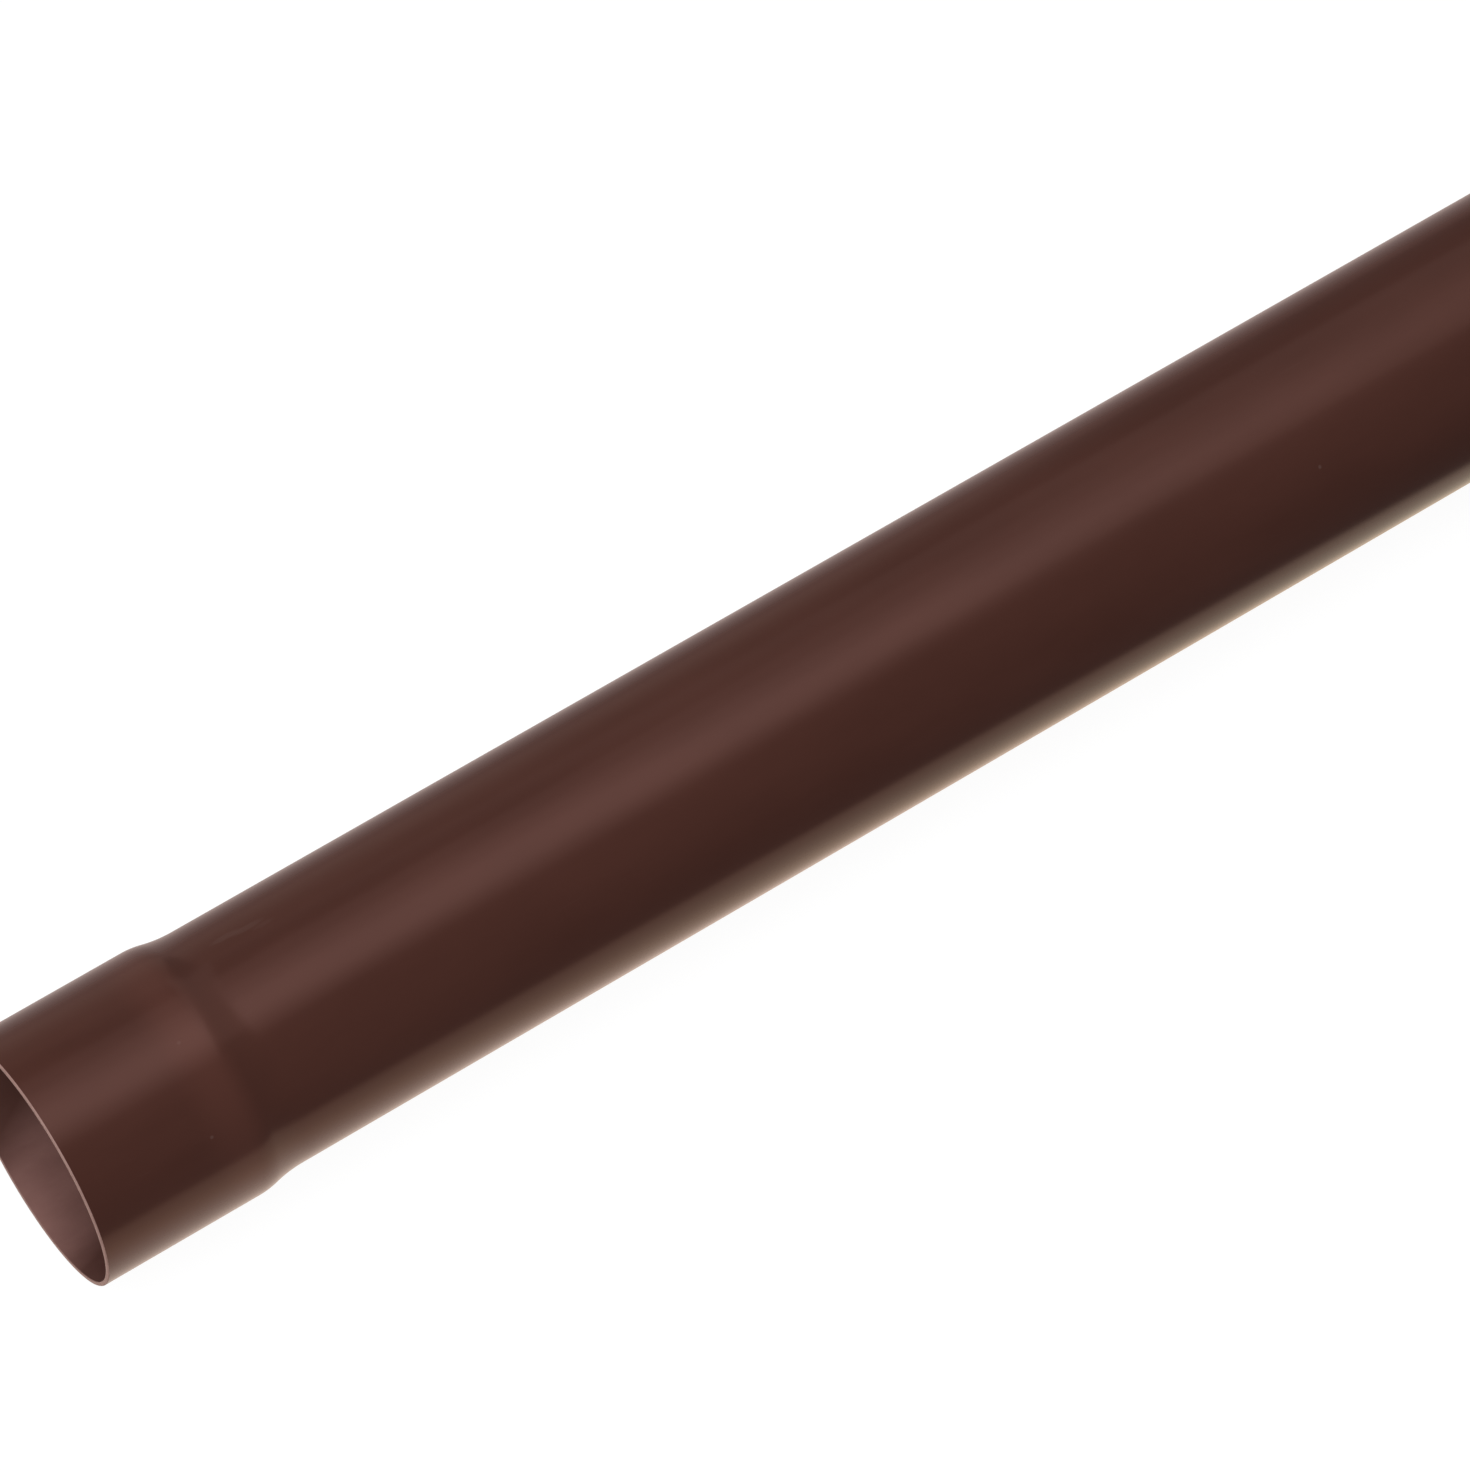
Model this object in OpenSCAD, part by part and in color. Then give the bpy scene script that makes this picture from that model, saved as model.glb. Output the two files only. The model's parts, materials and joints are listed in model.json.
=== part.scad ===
// Round rainwater downpipe with a socket formed on one end, lying on its side.
// It is one extruded tube. One end is heated and swollen over a mandrel into a socket
// that takes the plain end of the next pipe.
// Millimetres. The axis runs along X, with the socket's mouth at -X and the plain end at +X.
// The origin is on the floor, under the middle of the length.

/* [Pipe] */
// Length over all, from the socket's mouth to the plain end
overall_length = 2000; // [500:50:4000]
// Outside diameter of the pipe
pipe_od = 80; // [50:1:125]
// Wall of the pipe
pipe_wall = 1.6; // [1.2:0.1:3.2]

/* [Socket] */
// Straight depth of the socket, from its mouth to the start of the shoulder
socket_depth = 55; // [40:0.5:110]
// Gap on every side between the socket's bore and the pipe that goes into it
socket_clearance = 0.5; // [0.3:0.05:1]
// Wall of the socket, a little thinner than the pipe's because it was stretched
socket_wall = 1.5; // [1.2:0.1:3]

/* [Shoulder] */
// Outside radius of the bend where the socket turns down into the shoulder
shoulder_bend = 26; // [10:1:60]
// Outside radius of the bend where the shoulder runs out into the pipe
throat_bend = 44; // [15:1:90]

/* [Cut ends] */
// Bevel on the outer edge of the socket's mouth
mouth_bevel = 0.5; // [0.2:0.1:0.7]
// Bevel on the outer edge of the plain end
end_bevel = 0.4; // [0.2:0.1:0.6]
// Bevel on the inner edge of both ends
inner_bevel = 0.3; // [0.1:0.1:0.4]

/* [Hidden] */

// Radii of the pipe and of the socket, outside and inside
pipe_r = pipe_od / 2;
pipe_bore_r = pipe_r - pipe_wall;
socket_bore_r = pipe_r + socket_clearance;
socket_r = socket_bore_r + socket_wall;

// The inner bends differ from the outer ones by the wall, so it stays even round both
shoulder_bend_inside = shoulder_bend - socket_wall;
throat_bend_inside = throat_bend + pipe_wall;

// Straight steps that stand for each bend's arc, and the sides of a full turn
bend_steps = 6;
turn_sides = 180;

// Colour of the plastic
pvc_brown = [0.28, 0.17, 0.15];

// Points of an arc after its first, each [radius from the axis, distance from the mouth]
function arc(centre, bend, from, to) = [
    for (step = [1 : bend_steps])
        let (turn = from + (to - from) * step / bend_steps)
        centre + bend * [cos(turn), sin(turn)]
];

// The shoulder's line: two arcs that meet in an S, one out of the socket and one into the pipe
function shoulder_line(from_r, to_r, first_bend, last_bend) =
    let (bends = first_bend + last_bend)
    let (slope = acos(1 - (from_r - to_r) / bends))
    let (shoulder_end = socket_depth + bends * sin(slope))
    concat(
        [[from_r, socket_depth]],
        arc([from_r - first_bend, socket_depth], first_bend, 0, slope),
        arc([to_r + last_bend, shoulder_end], last_bend, 180 + slope, 180)
    );

function reversed(points) = [for (i = [len(points) - 1 : -1 : 0]) points[i]];

// Outside of the wall, from the mouth to the plain end
outside = concat(
    [[socket_r - mouth_bevel, 0], [socket_r, mouth_bevel]],
    shoulder_line(socket_r, pipe_r, shoulder_bend, throat_bend),
    [[pipe_r, overall_length - end_bevel], [pipe_r - end_bevel, overall_length]]
);

// Inside of the wall, from the mouth to the plain end
inside = concat(
    [[socket_bore_r + inner_bevel, 0], [socket_bore_r, inner_bevel]],
    shoulder_line(socket_bore_r, pipe_bore_r, shoulder_bend_inside, throat_bend_inside),
    [[pipe_bore_r, overall_length - inner_bevel], [pipe_bore_r + inner_bevel, overall_length]]
);

// The wall's section turned about the axis, laid down so that the socket rests on the floor
module downpipe() {
    color(pvc_brown)
        translate([-overall_length / 2, 0, socket_r])
            rotate([0, 90, 0])
                rotate_extrude($fn = turn_sides)
                    polygon(concat(outside, reversed(inside)));
}

downpipe();
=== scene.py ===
import json
import math

import bpy
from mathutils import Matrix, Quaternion, Vector


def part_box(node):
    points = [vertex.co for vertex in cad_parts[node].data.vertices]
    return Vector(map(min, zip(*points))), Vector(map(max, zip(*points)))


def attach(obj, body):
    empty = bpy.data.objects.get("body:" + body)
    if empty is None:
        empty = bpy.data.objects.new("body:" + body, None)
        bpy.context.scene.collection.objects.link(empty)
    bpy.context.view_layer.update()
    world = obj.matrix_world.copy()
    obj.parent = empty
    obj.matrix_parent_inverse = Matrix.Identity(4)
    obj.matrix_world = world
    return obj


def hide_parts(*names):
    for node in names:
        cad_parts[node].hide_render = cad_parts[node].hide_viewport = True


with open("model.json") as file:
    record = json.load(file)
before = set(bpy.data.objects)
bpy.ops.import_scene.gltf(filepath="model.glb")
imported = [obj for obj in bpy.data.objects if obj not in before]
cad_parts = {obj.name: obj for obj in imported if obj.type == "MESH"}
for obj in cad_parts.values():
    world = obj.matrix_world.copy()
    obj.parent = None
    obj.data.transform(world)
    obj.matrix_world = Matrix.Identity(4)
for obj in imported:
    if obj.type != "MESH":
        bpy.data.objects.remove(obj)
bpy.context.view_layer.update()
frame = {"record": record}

# The tube: brown PVC, extruded round and straight. One end was heated and swollen over a mandrel
# into a socket for the next pipe, so its shoulder is a soft S. Both ends are sawn square, with
# their edges taken off.
mounts = {mount["name"]: mount for mount in frame["record"]["mounts"]}
low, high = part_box("downpipe")
mouth_x = low.x
end_x = high.x
axis_z = (low.z + high.z) / 2
socket_r = axis_z - low.z
socket_bore_r = mounts["socket"]["dims"]["r_mm"] / 1000
socket_bore_length = mounts["socket"]["dims"]["length_mm"] / 1000
pipe_r = mounts["spigot"]["dims"]["r_mm"] / 1000
pipe_bore_r = mounts["waterway"]["dims"]["r_mm"] / 1000
shoulder_x = mounts["socket"]["pos_m"][0] + socket_bore_length / 2
socket_wall = socket_r - socket_bore_r
pipe_wall = pipe_r - pipe_bore_r
shoulder_bend = 0.026
throat_bend = 0.044
mouth_round = 0.0005
end_round = 0.0004
inner_round = 0.0003
# Fineness of the mesh: metres between rings, sides of a full turn, and degrees for the rest
ring_spacing = 0.040
sides = 288
edge_step = 15
bend_step = 1
sharp_angle = 40
# Places of the finishes in the mesh's list of materials
SKIN, BORE, CUT = 0, 1, 2


def arc(centre, radius, start, stop, step):
    """Points of an arc, each (place along the axis, radius from it). Angles and step are in degrees."""
    count = max(2, round(abs(stop - start) / step))
    angles = [math.radians(start + (stop - start) * i / count) for i in range(count + 1)]
    return [(centre[0] + radius * math.cos(a), centre[1] + radius * math.sin(a)) for a in angles]


def shoulder(from_r, to_r, first_bend, last_bend):
    """The line of the shoulder: one arc out of the socket that meets one into the pipe."""
    bends = first_bend + last_bend
    slope = math.acos(1 - (from_r - to_r) / bends)
    turn = math.degrees(slope)
    shoulder_end = shoulder_x + bends * math.sin(slope)
    out = arc((shoulder_x, from_r - first_bend), first_bend, 90, 90 - turn, bend_step)
    into = arc((shoulder_end, to_r + last_bend), last_bend, 270 - turn, 270, bend_step)
    return out[:-1] + into


def with_rings(line):
    """The same line with a point at least every ring_spacing, so that no face is very long."""
    filled = [line[0]]
    for (x0, r0), (x1, r1) in zip(line, line[1:]):
        parts = max(1, math.ceil(abs(x1 - x0) / ring_spacing))
        filled += [(x0 + (x1 - x0) * i / parts, r0 + (r1 - r0) * i / parts) for i in range(1, parts + 1)]
    return filled


mouth_edge = arc((mouth_x + inner_round, socket_bore_r + inner_round), inner_round, 270, 180, edge_step)
mouth_edge += arc((mouth_x + mouth_round, socket_r - mouth_round), mouth_round, 180, 90, edge_step)
outside = shoulder(socket_r, pipe_r, shoulder_bend, throat_bend)
end_edge = arc((end_x - end_round, pipe_r - end_round), end_round, 90, 0, edge_step)
end_edge += arc((end_x - inner_round, pipe_bore_r + inner_round), inner_round, 0, -90, edge_step)
inside = shoulder(socket_bore_r, pipe_bore_r, shoulder_bend - socket_wall, throat_bend + pipe_wall)
inside.reverse()
stretches = [
    (CUT, mouth_edge),
    (SKIN, with_rings([mouth_edge[-1]] + outside + [end_edge[0]])),
    (CUT, end_edge),
    (BORE, with_rings([end_edge[-1]] + inside + [mouth_edge[0]])),
]
section = []
finish_of = []
for finish, line in stretches:
    section += line[:-1]
    finish_of += [finish] * (len(line) - 1)

turns = [math.tau * i / sides for i in range(sides)]
points = [(x, r * math.sin(t), axis_z + r * math.cos(t)) for x, r in section for t in turns]
faces = []
face_finish = []
for ring in range(len(section)):
    here = ring * sides
    after = (ring + 1) % len(section) * sides
    for side in range(sides):
        beside = (side + 1) % sides
        faces.append((here + side, after + side, after + beside, here + beside))
        face_finish.append(finish_of[ring])
tube_mesh = bpy.data.meshes.new("downpipe_tube")
tube_mesh.from_pydata(points, [], faces)
tube_mesh.polygons.foreach_set("material_index", face_finish)
tube_mesh.polygons.foreach_set("use_smooth", [True] * len(faces))
tube_mesh.set_sharp_from_angle(angle=math.radians(sharp_angle))
tube_mesh.update()
tube = bpy.data.objects.new("downpipe_tube", tube_mesh)
bpy.context.scene.collection.objects.link(tube)
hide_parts("downpipe")
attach(tube, "root")

# The compound: brown pigment mixed into the PVC a little unevenly, so skin and bore share faint
# clouds of tone and the faint lines that the die draws along the tube.
pvc_dark = (0.0725, 0.0264, 0.0194, 1)
pvc_light = (0.0829, 0.0306, 0.0226, 1)
pvc_ior = 1.5
cloud_scale = (16, 48, 48)
die_line_scale = (1.5, 240, 240)
noise_middle = (0.3, 0.7)


def add(tree, kind, inputs=None, **settings):
    """A new node with its settings, and with each named input linked to a socket or set to a value."""
    made = tree.nodes.new(kind)
    for name, value in settings.items():
        setattr(made, name, value)
    for name, value in (inputs or {}).items():
        if isinstance(value, bpy.types.NodeSocket):
            tree.links.new(value, made.inputs[name])
        else:
            made.inputs[name].default_value = value
    return made


def vector_of(tree, operation, first, second=(0, 0, 0)):
    """The result of a sum on two vectors or sockets. A length or a dot product is a plain value."""
    made = add(tree, "ShaderNodeVectorMath", {0: first, 1: second}, operation=operation)
    return made.outputs["Value" if operation in ("LENGTH", "DOT_PRODUCT") else "Vector"]


def blend(tree, share, first, second):
    """A colour between two colours or sockets. The Mix node keeps its colours at 6, 7 and output 2."""
    made = add(tree, "ShaderNodeMix", {0: share, 6: first, 7: second}, data_type="RGBA")
    return made.outputs[2]


def fit_range(tree, value, low_in, high_in, low_out, high_out, ease="LINEAR"):
    """A value brought from one range into another and kept inside it."""
    names = {"Value": value, "From Min": low_in, "From Max": high_in, "To Min": low_out, "To Max": high_out}
    return add(tree, "ShaderNodeMapRange", names, interpolation_type=ease).outputs[0]


def stretched_noise(tree, place, scale, detail, roughness=0.55):
    """Noise whose grain is set apart along X, Y and Z, in features to the metre."""
    spread = vector_of(tree, "MULTIPLY", place, scale)
    names = {"Vector": spread, "Scale": 1.0, "Detail": detail, "Roughness": roughness}
    return add(tree, "ShaderNodeTexNoise", names).outputs[0]


compound = bpy.data.node_groups.new("brown_compound", "ShaderNodeTree")
compound.interface.new_socket("Place", in_out="INPUT", socket_type="NodeSocketVector")
compound.interface.new_socket("Color", in_out="OUTPUT", socket_type="NodeSocketColor")
compound.interface.new_socket("Lines", in_out="OUTPUT", socket_type="NodeSocketFloat")
compound_place = add(compound, "NodeGroupInput").outputs["Place"]
cloud_noise = stretched_noise(compound, compound_place, cloud_scale, detail=3)
clouds = fit_range(compound, cloud_noise, *noise_middle, 0, 1)
add(compound, "NodeGroupOutput", {
    "Color": blend(compound, clouds, pvc_dark, pvc_light),
    "Lines": stretched_noise(compound, compound_place, die_line_scale, detail=2),
})

# The skin: the outside of the tube, satin as it left the die. It is paler where the socket's end
# was stretched over the mandrel, and has faint rubs, scuffs and specks from handling.
skin_gloss = (0.19, 0.21)
skin_tint = (0.93, 0.52, 0.46, 1)
die_line_strength = 0.02
die_line_depth = 0.00004
# The stretched tone comes and goes over these metres from the mouth
stretched_tone = (0.096, 0.0354, 0.0263, 1)
stretch_rise = (0.038, 0.051)
stretch_fall = (0.0525, 0.0610)
rub_colour = (0.20, 0.135, 0.115, 1)
rub_scale = (38, 900, 900)
rub_peaks = (0.70, 0.84)
rub_share = 0.10
# Marks: mm from the mouth, degrees up from the near side, half length and half width in mm, strength
mark_colour = (0.30, 0.22, 0.20, 1)
mark_edge = (0.4, 1.1)
specks = [(47.8, 76.3, 0.8, 0.7, 0.08), (43.0, 35.4, 0.7, 0.7, 0.15), (454.2, 46.1, 0.7, 0.8, 0.15)]
scuffs = [(79.5, 112.3, 6.0, 1.5, 0.06), (86.5, 110.6, 6.5, 1.5, 0.06), (91.0, 107.5, 4.5, 1.2, 0.03)]


def bare_tree(owner):
    """The emptied node tree of a material, the world or a lamp."""
    owner.use_nodes = True
    owner.node_tree.nodes.clear()
    return owner.node_tree


def math_of(tree, operation, first, second=0.0):
    """The result of a sum on two values or sockets."""
    return add(tree, "ShaderNodeMath", {0: first, 1: second}, operation=operation).outputs[0]


skin = bpy.data.materials.new("brown_pvc_skin")
tree = bare_tree(skin)
place = add(tree, "ShaderNodeTexCoord").outputs["Object"]
base = add(tree, "ShaderNodeGroup", {"Place": place}, node_tree=compound).outputs
along = math_of(tree, "SUBTRACT", add(tree, "ShaderNodeSeparateXYZ", {0: place}).outputs["X"], mouth_x)
rise = fit_range(tree, along, *stretch_rise, 0, 1, "SMOOTHSTEP")
fall = fit_range(tree, along, *stretch_fall, 1, 0, "SMOOTHSTEP")
colour = blend(tree, math_of(tree, "MULTIPLY", rise, fall), base["Color"], stretched_tone)
rubs = fit_range(tree, stretched_noise(tree, place, rub_scale, detail=4), *rub_peaks, 0, rub_share)
colour = blend(tree, rubs, colour, rub_colour)
for from_mouth, up_angle, half_length, half_width, strength in specks + scuffs:
    mark_x = mouth_x + from_mouth / 1000
    mark_r = socket_r if mark_x < shoulder_x else pipe_r
    up = math.radians(up_angle)
    middle = (mark_x, -mark_r * math.cos(up), axis_z + mark_r * math.sin(up))
    offset = vector_of(tree, "SUBTRACT", place, middle)
    shrink = (1000 / half_length, 1000 / half_width, 1000 / half_width)
    reach = vector_of(tree, "LENGTH", vector_of(tree, "MULTIPLY", offset, shrink))
    mark = fit_range(tree, reach, *mark_edge, strength, 0, "SMOOTHSTEP")
    colour = blend(tree, mark, colour, mark_colour)
relief = add(tree, "ShaderNodeBump", {
    "Height": base["Lines"],
    "Strength": die_line_strength,
    "Distance": die_line_depth,
})
shader = add(tree, "ShaderNodeBsdfPrincipled", {
    "Base Color": colour,
    "Roughness": fit_range(tree, base["Lines"], *noise_middle, *skin_gloss),
    "IOR": pvc_ior,
    "Specular Tint": skin_tint,
    "Normal": relief.outputs[0],
})
add(tree, "ShaderNodeOutputMaterial", {"Surface": shader.outputs[0]})
tube_mesh.materials.append(skin)

# The bore: the inside of the tube, the same plastic left duller, because only the outside cools
# against a polished sleeve. A pale, patchy mark inside both ends is partly saw dust and partly
# painted light: light that falls in through the mouth onto the lower wall.
bore_gloss = 0.42
# The pale mark, partly dust and partly painted light, reaches this many metres in. It lies this way
# from the axis, turns to the far wall by so much to the metre, and thickens from its least over this
# band of distances from the axis.
dust_and_painted_light_colour = (0.62, 0.335, 0.30, 1)
dust_and_painted_light_share = 0.64
dust_and_painted_light_reach = 0.040
dust_and_painted_light_lie = (0, 0.070, -0.998)
dust_and_painted_light_turn = 15
dust_and_painted_light_least = 0.2
dust_and_painted_light_band = (0.78 * socket_bore_r, 1.04 * socket_bore_r)
patch_scale = (40, 90, 90)
patch_middle = (0.35, 0.65)
patch_share = (0.75, 1)
bore = bpy.data.materials.new("brown_pvc_bore")
tree = bare_tree(bore)
place = add(tree, "ShaderNodeTexCoord").outputs["Object"]
base = add(tree, "ShaderNodeGroup", {"Place": place}, node_tree=compound).outputs
spot = add(tree, "ShaderNodeSeparateXYZ", {0: place}).outputs
from_ends = math_of(tree, "SUBTRACT", end_x, math_of(tree, "ABSOLUTE", spot["X"]))
near_ends = fit_range(tree, from_ends, 0, dust_and_painted_light_reach, 1, 0)
from_axis = vector_of(tree, "SUBTRACT", place, (0, 0, axis_z))
turned = math_of(tree, "MULTIPLY", spot["Y"], math_of(tree, "MULTIPLY", from_ends, dust_and_painted_light_turn))
lowness = math_of(tree, "ADD", vector_of(tree, "DOT_PRODUCT", from_axis, dust_and_painted_light_lie), turned)
settled_or_lit = fit_range(tree, lowness, *dust_and_painted_light_band, dust_and_painted_light_least, 1)
patchiness = fit_range(tree, stretched_noise(tree, place, patch_scale, detail=4), *patch_middle, *patch_share)
# The pale mark mixed into the bore's colour: partly saw dust, partly painted light from the mouth
dust_and_painted_light = math_of(tree, "MULTIPLY", math_of(tree, "MULTIPLY", near_ends, settled_or_lit), patchiness)
dust_and_painted_light = math_of(tree, "MULTIPLY", dust_and_painted_light, dust_and_painted_light_share)
shader = add(tree, "ShaderNodeBsdfPrincipled", {
    "Base Color": blend(tree, dust_and_painted_light, base["Color"], dust_and_painted_light_colour),
    "Roughness": bore_gloss,
    "IOR": pvc_ior,
    "Specular Tint": skin_tint,
})
add(tree, "ShaderNodeOutputMaterial", {"Surface": shader.outputs[0]})
tube_mesh.materials.append(bore)

# The sawn ends: bare PVC at the mouth and the plain end, paler and duller than the skin where
# the blade and the deburring knife went.
cut_dark = (0.32, 0.180, 0.155, 1)
cut_light = (0.46, 0.276, 0.238, 1)
cut_gloss = 0.55
saw_scale = (200, 900, 140)
saw_strength = 0.3
saw_depth = 0.0001
cut = bpy.data.materials.new("brown_pvc_cut")
tree = bare_tree(cut)
place = add(tree, "ShaderNodeTexCoord").outputs["Object"]
saw_marks = stretched_noise(tree, place, saw_scale, detail=3)
relief = add(tree, "ShaderNodeBump", {"Height": saw_marks, "Strength": saw_strength, "Distance": saw_depth})
shader = add(tree, "ShaderNodeBsdfPrincipled", {
    "Base Color": blend(tree, saw_marks, cut_dark, cut_light),
    "Roughness": cut_gloss,
    "Normal": relief.outputs[0],
})
add(tree, "ShaderNodeOutputMaterial", {"Surface": shader.outputs[0]})
tube_mesh.materials.append(cut)

# The floor: a plain white sweep under the pipe, which keeps a soft shadow. Glossy rays alone see a
# glowing painted sheet on it, laid a little askew by the socket and dark further out: a painted reflection in
# the pipe.
floor_half = 20
floor_albedo = 0.15
floor_white = 0.94
# On its near side the painted sheet leans about a pivot, and glows brighter, over these metres from the mouth
near_edge = (-0.05, 0.03)
painted_sheet_skew = 0.18
painted_sheet_pivot = 0.154
painted_sheet_run = 0.56
level_run = 0.5
painted_sheet_level = (1.36, 1.70)
# Colours across the painted sheet, at metres from under the pipe's axis
painted_sheet_from, painted_sheet_to = -0.40, 0.60
painted_sheet_stops = [
    (-0.142, (0.02, 0.02, 0.02, 1)),
    (-0.131, (0.48, 0.40, 0.31, 1)),
    (-0.100, (0.56, 0.475, 0.36, 1)),
    (-0.070, (0.73, 0.56, 0.41, 1)),
    (-0.045, (0.79, 0.60, 0.49, 1)),
    (0.000, (0.75, 0.60, 0.51, 1)),
    (0.060, (0.52, 0.40, 0.36, 1)),
    (0.180, (0.31, 0.235, 0.225, 1)),
    (0.400, (0.23, 0.16, 0.14, 1)),
    (0.590, (0.19, 0.125, 0.115, 1)),
]
floor_mesh = bpy.data.meshes.new("floor")
corners = [(-floor_half, -floor_half, 0), (floor_half, -floor_half, 0)]
corners += [(floor_half, floor_half, 0), (-floor_half, floor_half, 0)]
floor_mesh.from_pydata(corners, [], [(0, 1, 2, 3)])
floor = bpy.data.objects.new("floor", floor_mesh)
bpy.context.scene.collection.objects.link(floor)


def set_stops(ramp, stops):
    """Gives a ramp its stops, each (place from 0 to 1, colour)."""
    elements = ramp.color_ramp.elements
    while len(elements) < len(stops):
        elements.new(0.5)
    for element, (stop, stop_colour) in zip(elements, stops):
        element.position = stop
        element.color = stop_colour


paper = bpy.data.materials.new("white_floor")
tree = bare_tree(paper)
rays = add(tree, "ShaderNodeLightPath").outputs
place = add(tree, "ShaderNodeTexCoord").outputs["Object"]
spot = add(tree, "ShaderNodeSeparateXYZ", {0: place}).outputs
near_side = fit_range(tree, spot["Y"], *near_edge, 1, 0)
lean_ends = (-painted_sheet_pivot * painted_sheet_skew, (painted_sheet_run - painted_sheet_pivot) * painted_sheet_skew)
lean = fit_range(tree, spot["X"], mouth_x, mouth_x + painted_sheet_run, *lean_ends)
across = math_of(tree, "SUBTRACT", spot["Y"], math_of(tree, "MULTIPLY", lean, near_side))
ramp = add(tree, "ShaderNodeValToRGB", {"Fac": fit_range(tree, across, painted_sheet_from, painted_sheet_to, 0, 1)})
set_stops(ramp, [((y - painted_sheet_from) / (painted_sheet_to - painted_sheet_from), stop_colour) for y, stop_colour in painted_sheet_stops])
past_mouth = fit_range(tree, spot["X"], mouth_x, mouth_x + level_run, 0, 1)
level = fit_range(tree, math_of(tree, "MULTIPLY", near_side, past_mouth), 0, 1, *painted_sheet_level)
painted_sheet = add(tree, "ShaderNodeVectorMath", {0: ramp.outputs["Color"], "Scale": level}, operation="SCALE")
# Only glossy rays see the glowing sheet: it paints a reflection along the pipe's lower side
glow = blend(tree, rays["Is Glossy Ray"], (0, 0, 0, 1), painted_sheet.outputs[0])
seen = math_of(tree, "MAXIMUM", rays["Is Camera Ray"], rays["Is Transmission Ray"])
glow = blend(tree, seen, glow, (floor_white, floor_white, floor_white, 1))
dull = add(tree, "ShaderNodeBsdfDiffuse", {"Color": (floor_albedo, floor_albedo, floor_albedo, 1)})
lit = add(tree, "ShaderNodeEmission", {"Color": glow, "Strength": 1.0})
both = add(tree, "ShaderNodeAddShader", {0: dull.outputs[0], 1: lit.outputs[0]})
add(tree, "ShaderNodeOutputMaterial", {"Surface": both.outputs[0]})
floor_mesh.materials.append(paper)

# The light: a wide soft box overhead, brightest across its middle, and a dimmer spill to its right.
# A key stands beyond the socket, a warm wall glows behind, and the room is dim.
room_diffuse = (0.338, 0.338, 0.338, 1)
room_glossy = (0.135, 0.135, 0.135, 1)
room_seen = (1, 1, 1, 1)
# Cloths: stops across a box's depth, each (place from 0 to 1, share of its level)
overhead_cloth = [
    (0.000, 0.15), (0.069, 0.33), (0.190, 0.67), (0.264, 0.95), (0.379, 1.00),
    (0.494, 0.95), (0.569, 0.69), (0.690, 0.59), (0.782, 0.29), (1.000, 0.26),
]
spill_cloth = [(0.00, 1.15), (0.35, 1.15), (0.60, 0.95), (1.00, 0.75)]
key_cloth = [(0.00, 0.35), (0.50, 1.00), (1.00, 1.35)]
wall_cloth = [(0.00, 1.00), (0.28, 0.90), (0.50, 0.62), (1.00, 0.48)]
world = bpy.data.worlds.new("room")
tree = bare_tree(world)
rays = add(tree, "ShaderNodeLightPath").outputs
room = blend(tree, rays["Is Glossy Ray"], room_diffuse, room_glossy)
room = blend(tree, rays["Is Camera Ray"], room, room_seen)
back = add(tree, "ShaderNodeBackground", {"Color": room, "Strength": 1.0})
add(tree, "ShaderNodeOutputWorld", {"Surface": back.outputs[0]})
bpy.context.scene.world = world


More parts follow.
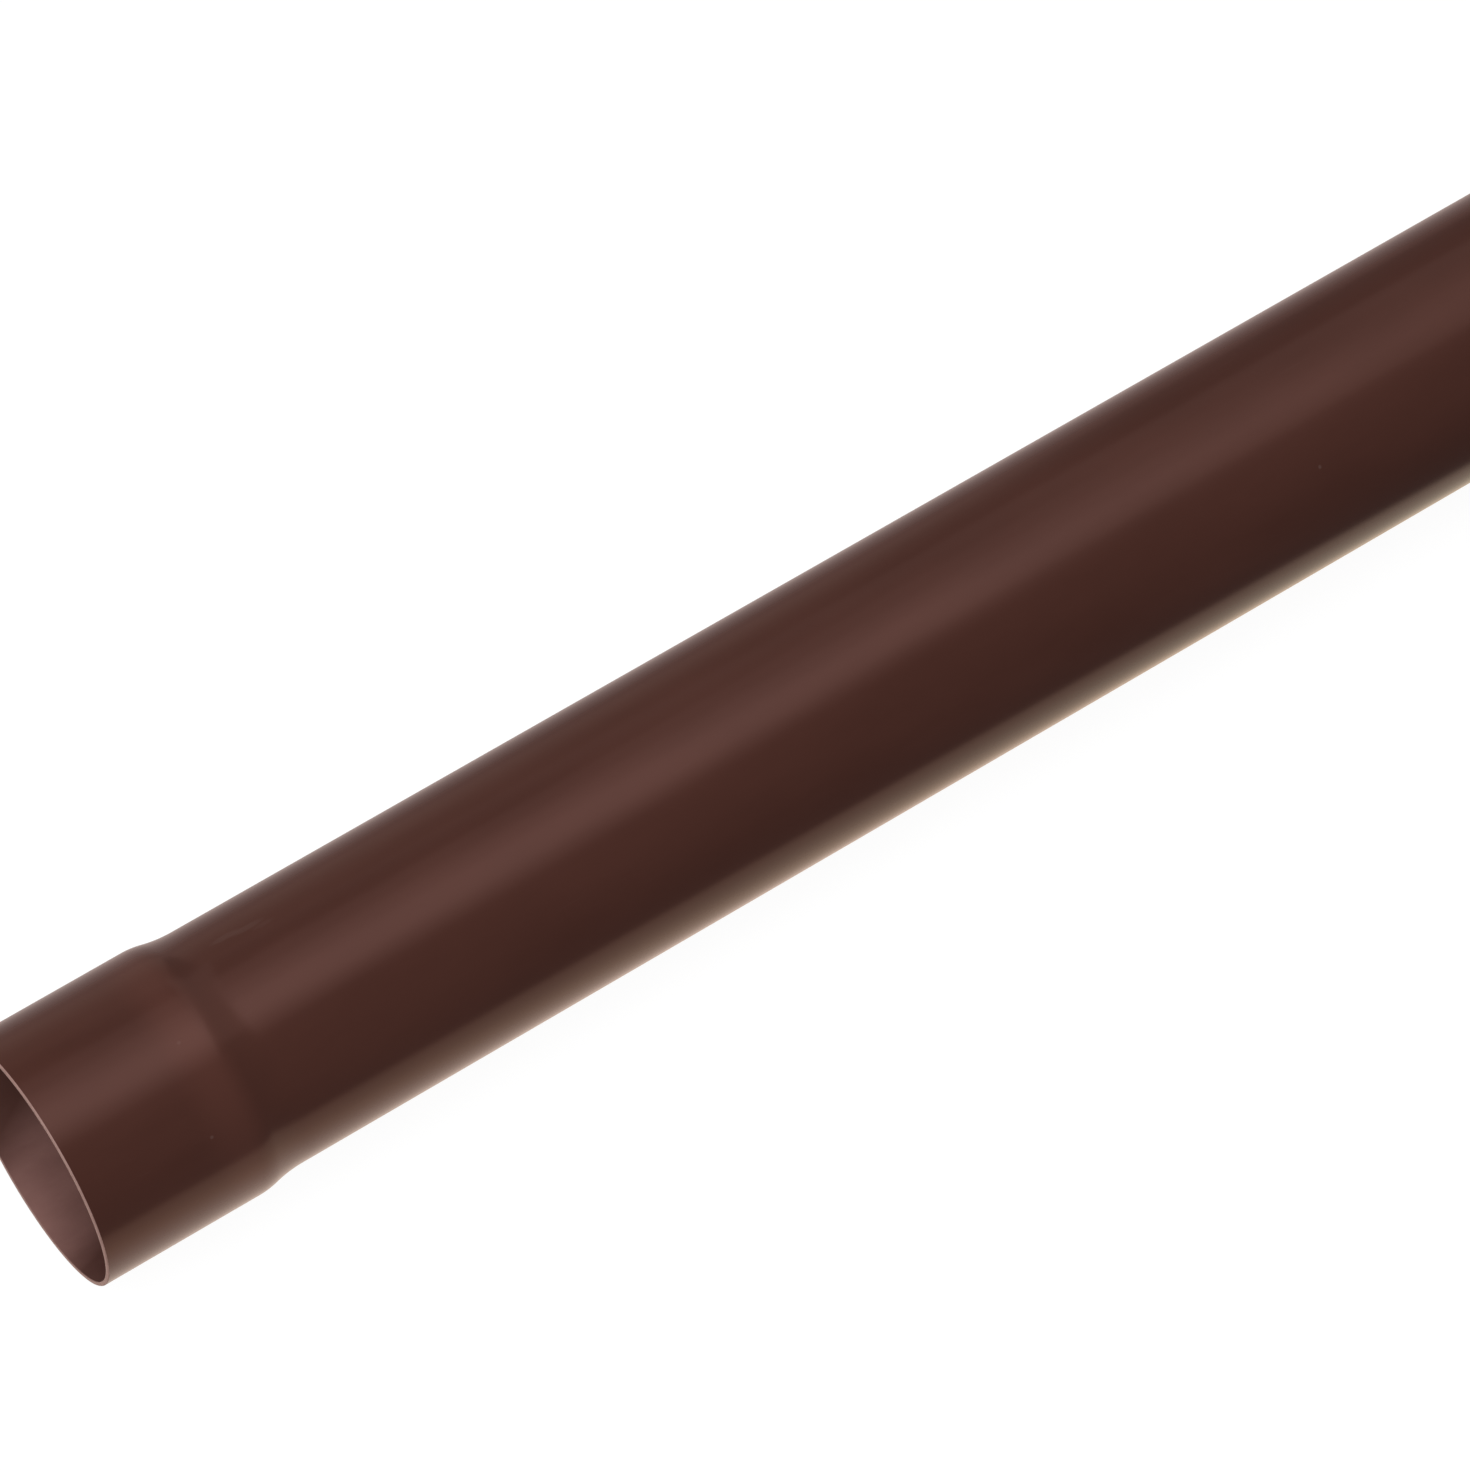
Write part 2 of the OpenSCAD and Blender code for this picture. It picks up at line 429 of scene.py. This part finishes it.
def soft_box(name, centre, aim, width, depth, power, cloth, turn=0, tone=(1, 1, 1)):
    """A rectangular lamp behind a cloth. It faces a point, and is turned about its own axis by degrees."""
    lamp = bpy.data.lights.new(name, "AREA")
    lamp.shape = "RECTANGLE"
    lamp.size = width
    lamp.size_y = depth
    lamp.energy = power
    lamp.color = tone
    tree = bare_tree(lamp)
    place = add(tree, "ShaderNodeNewGeometry").outputs["Parametric"]
    spot = add(tree, "ShaderNodeSeparateXYZ", {0: place}).outputs
    ramp = add(tree, "ShaderNodeValToRGB", {"Fac": spot["Y"]})
    set_stops(ramp, [(stop, (share, share, share, 1)) for stop, share in cloth])
    glow = add(tree, "ShaderNodeEmission", {"Color": ramp.outputs["Color"], "Strength": 1.0})
    add(tree, "ShaderNodeOutputLight", {"Surface": glow.outputs[0]})
    holder = bpy.data.objects.new(name, lamp)
    holder.location = centre
    facing = Vector(aim) - Vector(centre)
    spin = Quaternion((0, 0, 1), math.radians(turn))
    holder.rotation_euler = (facing.to_track_quat("-Z", "Y") @ spin).to_euler()
    bpy.context.scene.collection.objects.link(holder)


soft_box(
    "overhead_box", centre=(-0.345, 1.92, 14.0), aim=(-0.345, 1.92, 0), width=10.95, depth=17.4,
    power=850, cloth=overhead_cloth, turn=-4.9,
)
soft_box(
    "overhead_spill", centre=(13.7, 8.8, 14.2), aim=(13.7, 8.8, 0), width=17.45, depth=26.4,
    power=579, cloth=spill_cloth, tone=(1, 0.97, 0.93),
)
soft_box(
    "socket_key", centre=(-2.55, -0.55, 1.1), aim=(-0.95, 0, 0.05), width=2.2, depth=2.2,
    power=23.0, cloth=key_cloth,
)
soft_box(
    "back_wall", centre=(-1.225, 3.0, 1.1), aim=(-1.225, 0, 1.1), width=3.35, depth=2.2,
    power=9.0, cloth=wall_cloth, tone=(1, 0.74, 0.62),
)

# The camera: where the photograph was taken from, high on the near side and toward the socket's
# end, through a long lens.
photo_long_side = 1471
photo_focal_pixels = 8000
camera_azimuth = -34.08
camera_elevation = 58.1
camera_distance = 2.4544
aim_from_mouth = 0.2532
aim_above_axis = 0.0147
lens = bpy.data.cameras.new("camera")
lens.sensor_width = 36
lens.lens = photo_focal_pixels * lens.sensor_width / photo_long_side
camera = bpy.data.objects.new("camera", lens)
bpy.context.scene.collection.objects.link(camera)
azimuth = math.radians(camera_azimuth)
elevation = math.radians(camera_elevation)
aim = Vector((mouth_x + aim_from_mouth, 0, axis_z + aim_above_axis))
flat = math.cos(elevation)
backward = Vector((math.sin(azimuth) * flat, -math.cos(azimuth) * flat, math.sin(elevation)))
camera.location = aim + backward * camera_distance
camera.rotation_euler = (-backward).to_track_quat("-Z", "Y").to_euler()
bpy.context.scene.camera = camera
bpy.context.scene.view_settings.view_transform = "Standard"
